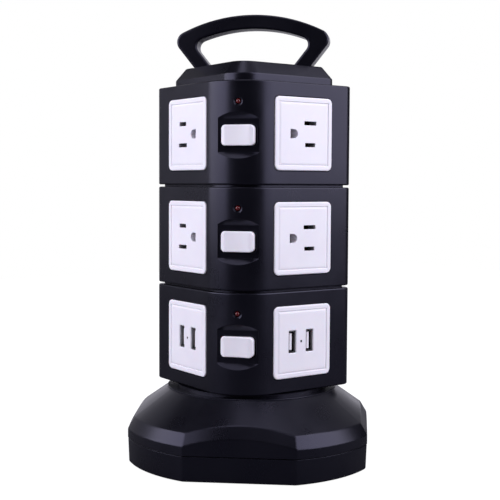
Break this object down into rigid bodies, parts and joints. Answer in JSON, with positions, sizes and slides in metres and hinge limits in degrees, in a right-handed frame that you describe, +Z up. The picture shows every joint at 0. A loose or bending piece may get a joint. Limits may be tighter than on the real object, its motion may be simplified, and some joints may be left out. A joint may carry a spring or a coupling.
{
  "type": "tower power strip",
  "caption": "Tower power strip: stacked tiers with grounded outlets, USB ports and rocker switches, a carry handle, on a round base that it swivels on.",
  "frame": {"origin": "centre of the base on the surface that it stands on", "axes": "+Z up; -Y is the outward normal of the outlet side to the right of the switches, and -X that of the outlet side to their left, so the switch corner faces between -X and -Y"},
  "size_m": [0.1576, 0.1576, 0.2718],
  "materials": {
    "black_plastic": "satin moulded plastic",
    "white_plastic": "satin moulded plastic",
    "grey_plastic": "matte moulded plastic",
    "rubber": "matte",
    "red_lens": "clear red lens",
    "steel": "zinc plated",
    "port_metal": "nickel plated sheet",
    "brass": "stamped sheet"
  },
  "bodies": {
    "base": {"base_cover": "black_plastic", "base_screw_back": "steel", "base_screw_front": "steel", "base_screw_left": "steel", "base_screw_right": "steel", "base_tray": "black_plastic", "cord_outlet": "rubber", "foot_back": "rubber", "foot_front": "rubber", "foot_left": "rubber", "foot_right": "rubber"},
    "tower": {"bottom_ground_strip": "brass", "bottom_housing": "black_plastic", "bottom_lamp": "red_lens", "bottom_line_strip": "brass", "bottom_neutral_strip": "brass", "bottom_outlet_back_left": "white_plastic", "bottom_outlet_back_right": "white_plastic", "bottom_switch_body": "grey_plastic", "carry_handle": "black_plastic", "cord_reel": "grey_plastic", "handle_screw_left": "steel", "handle_screw_right": "steel", "middle_floor": "black_plastic", "middle_ground_strip": "brass", "middle_housing": "black_plastic", "middle_lamp": "red_lens", "middle_line_strip": "brass", "middle_neutral_strip": "brass", "middle_outlet_back_left": "white_plastic", "middle_outlet_back_right": "white_plastic", "middle_outlet_front_left": "white_plastic", "middle_outlet_front_right": "white_plastic", "middle_switch_body": "grey_plastic", "reel_screw_back": "steel", "reel_screw_front": "steel", "tie_screw_back": "steel", "tie_screw_front": "steel", "tie_screw_left": "steel", "tie_screw_right": "steel", "top_cap": "black_plastic", "top_floor": "black_plastic", "top_ground_strip": "brass", "top_housing": "black_plastic", "top_lamp": "red_lens", "top_line_strip": "brass", "top_neutral_strip": "brass", "top_outlet_back_left": "white_plastic", "top_outlet_back_right": "white_plastic", "top_outlet_front_left": "white_plastic", "top_outlet_front_right": "white_plastic", "top_switch_body": "grey_plastic", "turntable": "black_plastic", "usb_module_front_left": "port_metal", "usb_module_front_right": "port_metal", "usb_plate_front_left": "white_plastic", "usb_plate_front_right": "white_plastic"},
    "bottom_rocker": {"bottom_rocker": "white_plastic"},
    "middle_rocker": {"middle_rocker": "white_plastic"},
    "top_rocker": {"top_rocker": "white_plastic"}
  },
  "joints": [
    {"name": "tower_swivel", "type": "hinge", "parent": "base", "child": "tower", "pos_m": [0, 0, 0.0465], "axis": [0, 0, 1], "continuous": true},
    {"name": "bottom_rocker_tilt", "type": "hinge", "parent": "tower", "child": "bottom_rocker", "pos_m": [-0.03241, -0.03241, 0.0748], "axis": [0, 0, 1], "range_deg": [0, 14]},
    {"name": "middle_rocker_tilt", "type": "hinge", "parent": "tower", "child": "middle_rocker", "pos_m": [-0.03241, -0.03241, 0.1358], "axis": [0, 0, 1], "range_deg": [0, 14]},
    {"name": "top_rocker_tilt", "type": "hinge", "parent": "tower", "child": "top_rocker", "pos_m": [-0.03241, -0.03241, 0.1968], "axis": [0, 0, 1], "range_deg": [0, 14]}
  ]
}
